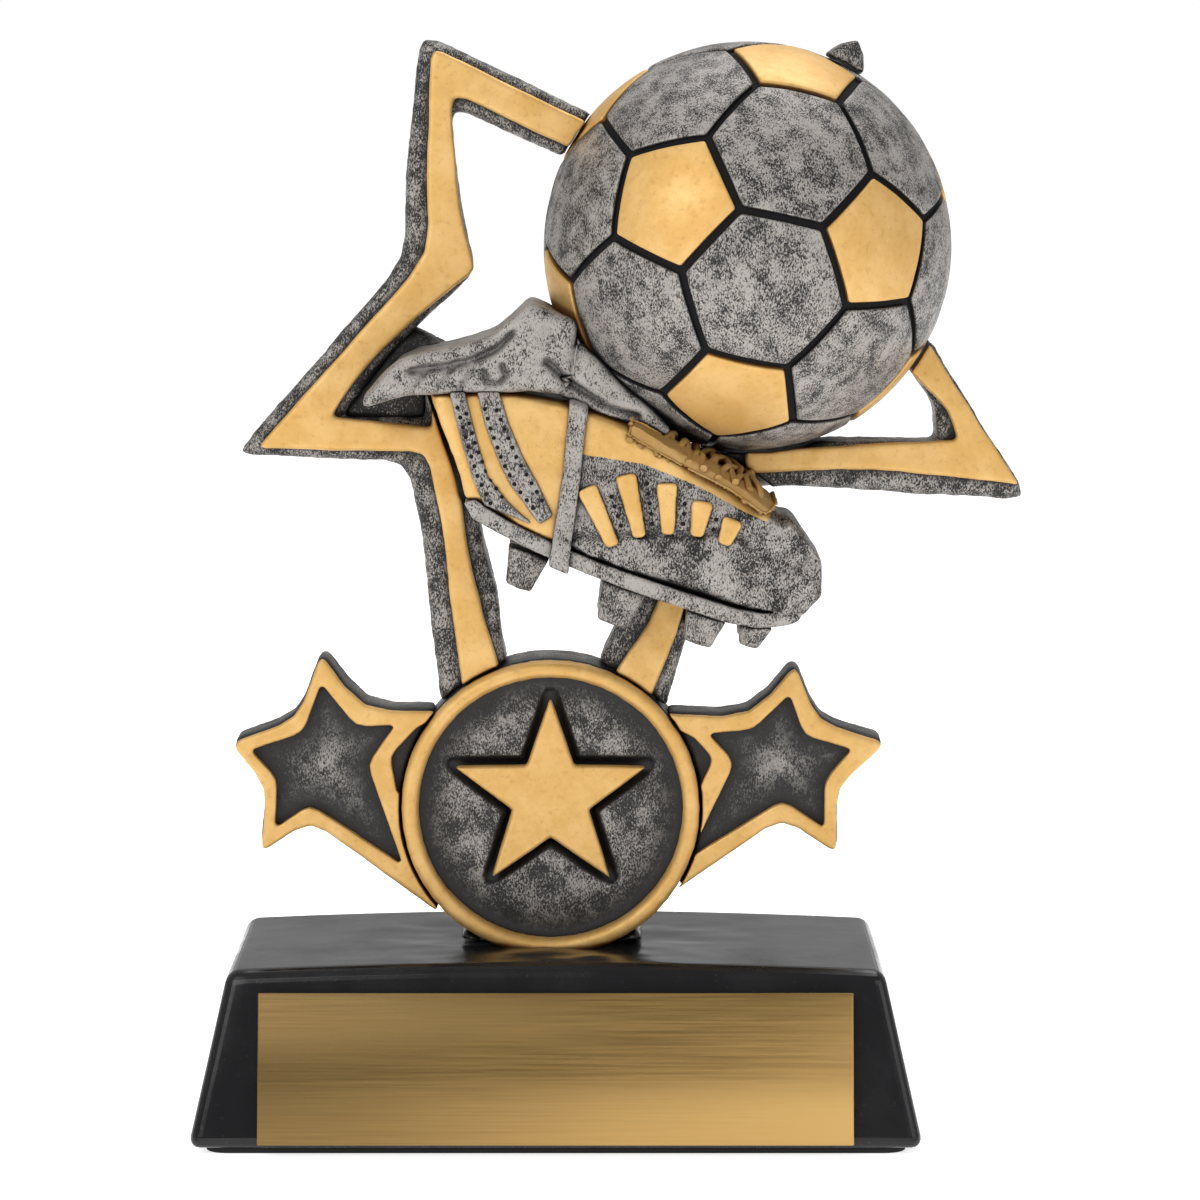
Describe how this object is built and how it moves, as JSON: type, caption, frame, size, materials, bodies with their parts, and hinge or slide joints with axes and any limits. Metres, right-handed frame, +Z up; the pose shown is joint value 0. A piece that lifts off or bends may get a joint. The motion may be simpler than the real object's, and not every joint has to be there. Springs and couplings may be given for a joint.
{
  "type": "star trophy",
  "caption": "Cast resin football trophy: a boot striking a ball in a star frame, over a star medallion flanked by side stars, on a tapered black base with a blank name plate.",
  "frame": {"origin": "middle of the underside, on the surface that the trophy stands on", "axes": "+Z up; -Y is the front, which carries the name plate; +X is to the right as seen from the front"},
  "size_m": [0.0834, 0.041, 0.1097],
  "materials": {
    "gloss_black": "gloss black lacquer on cast resin",
    "antique_silver": "black paint sponged with silver, satin, on cast resin",
    "light_silver": "black paint rubbed heavily with silver, satin, on cast resin",
    "satin_gold": "satin gold paint with brown wash in the recesses, on cast resin",
    "plate_gold": "brushed gold anodised sheet, blank",
    "tape": "double-sided adhesive film",
    "felt": "black felt"
  },
  "bodies": {
    "root": {"felt_pad": "felt", "base_block": "gloss_black", "plate_tape": "tape", "name_plate": "plate_gold", "figure_stem": "gloss_black", "medallion_body": "antique_silver", "medallion_ring": "satin_gold", "medallion_star": "satin_gold", "left_star_body": "antique_silver", "left_star_rim": "satin_gold", "right_star_body": "antique_silver", "right_star_rim": "satin_gold", "frame_left": "antique_silver", "frame_right": "antique_silver", "frame_top_tip": "antique_silver", "frame_web": "antique_silver", "frame_face_left": "satin_gold", "frame_face_right": "satin_gold", "frame_face_right_leg": "satin_gold", "ball": "antique_silver", "ball_pentagon_01": "satin_gold", "ball_pentagon_02": "satin_gold", "ball_pentagon_03": "satin_gold", "ball_pentagon_04": "satin_gold", "ball_pentagon_05": "satin_gold", "ball_pentagon_06": "satin_gold", "ball_pentagon_07": "satin_gold", "ball_pentagon_08": "satin_gold", "ball_pentagon_09": "satin_gold", "ball_pentagon_10": "satin_gold", "ball_pentagon_11": "satin_gold", "ball_pentagon_12": "satin_gold", "boot_upper": "satin_gold", "boot_collar": "light_silver", "boot_tongue": "light_silver", "boot_sole": "antique_silver", "boot_strap": "light_silver", "boot_toe_cap": "antique_silver", "boot_laces": "satin_gold", "boot_heel_band_1": "antique_silver", "boot_heel_band_2": "antique_silver", "boot_rib_1": "satin_gold", "boot_rib_2": "satin_gold", "boot_rib_3": "satin_gold", "boot_rib_4": "satin_gold", "boot_rib_5": "satin_gold", "boot_stud_heel_outer": "antique_silver", "boot_stud_heel_inner": "antique_silver", "boot_stud_middle_outer": "antique_silver", "boot_stud_middle_inner": "antique_silver", "boot_stud_ball_of_foot_outer": "antique_silver", "boot_stud_ball_of_foot_inner": "antique_silver", "boot_stud_toe_outer": "antique_silver", "boot_stud_toe_inner": "antique_silver"}
  },
  "joints": []
}
